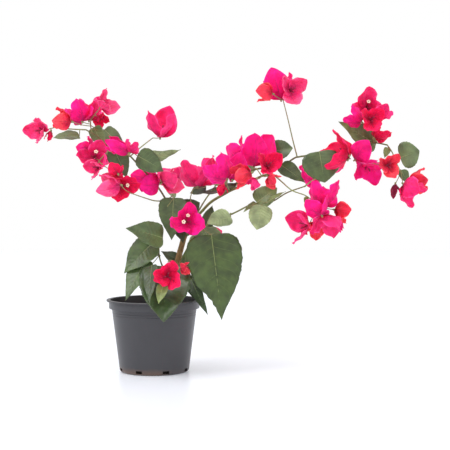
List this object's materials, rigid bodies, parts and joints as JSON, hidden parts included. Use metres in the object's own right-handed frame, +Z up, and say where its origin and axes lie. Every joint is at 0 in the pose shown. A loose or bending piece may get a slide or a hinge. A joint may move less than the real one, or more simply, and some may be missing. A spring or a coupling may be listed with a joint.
{
  "type": "potted bougainvillea bush",
  "caption": "Young bougainvillea in a round nursery pot: a short leaning stem forks into long arching canes with sprays of papery pink-red bracts and heart-shaped leaves.",
  "frame": {"origin": "centre of the pot's flat underside", "axes": "+Z up; +X towards the long flowering canes; +Y towards the back of the plant"},
  "size_m": [0.5447, 0.2514, 0.4159],
  "materials": {
    "pot_plastic": "moulded matt dark grey, lightly scuffed",
    "compost": "moist granular potting compost",
    "bark": "thin ridged brown bark",
    "green_wood": "smooth olive young wood",
    "foliage": "satin green leaves with paler undersides",
    "blossom": "papery veined bracts, magenta pink to orange red"
  },
  "bodies": {
    "root": {"pot": "pot_plastic", "compost": "compost", "trunk": "bark", "cane_right": "green_wood", "cane_right_outer": "green_wood", "cane_upper": "green_wood", "cane_upper_outer": "green_wood", "cane_lower": "green_wood", "cane_lower_outer": "green_wood", "cane_left": "green_wood", "cane_left_outer": "green_wood", "shoot_low": "green_wood", "cane_back": "green_wood", "far_left": "blossom", "left_crest": "blossom", "left_low": "blossom", "left_hanging": "blossom", "tall_single": "blossom", "centre_left": "blossom", "centre_rose": "blossom", "centre_magenta": "blossom", "centre_crown": "blossom", "right_heart": "blossom", "fork_bloom": "blossom", "fork_leaves": "foliage", "great_leaf": "foliage", "lower_leaf": "foliage", "left_leaves": "foliage", "low_leaves": "foliage", "low_bloom": "blossom", "low_right": "foliage", "top_bloom": "blossom", "upper_leaves": "foliage", "mid_right": "blossom", "crown_right": "blossom", "right_cluster": "blossom", "right_tip": "blossom", "hanging_cluster": "blossom", "lower_right_leaves": "foliage", "left_back": "blossom", "back_crown": "blossom", "back_leaves": "blossom", "low_back": "blossom", "right_back": "blossom", "left_rear": "blossom"}
  },
  "joints": []
}
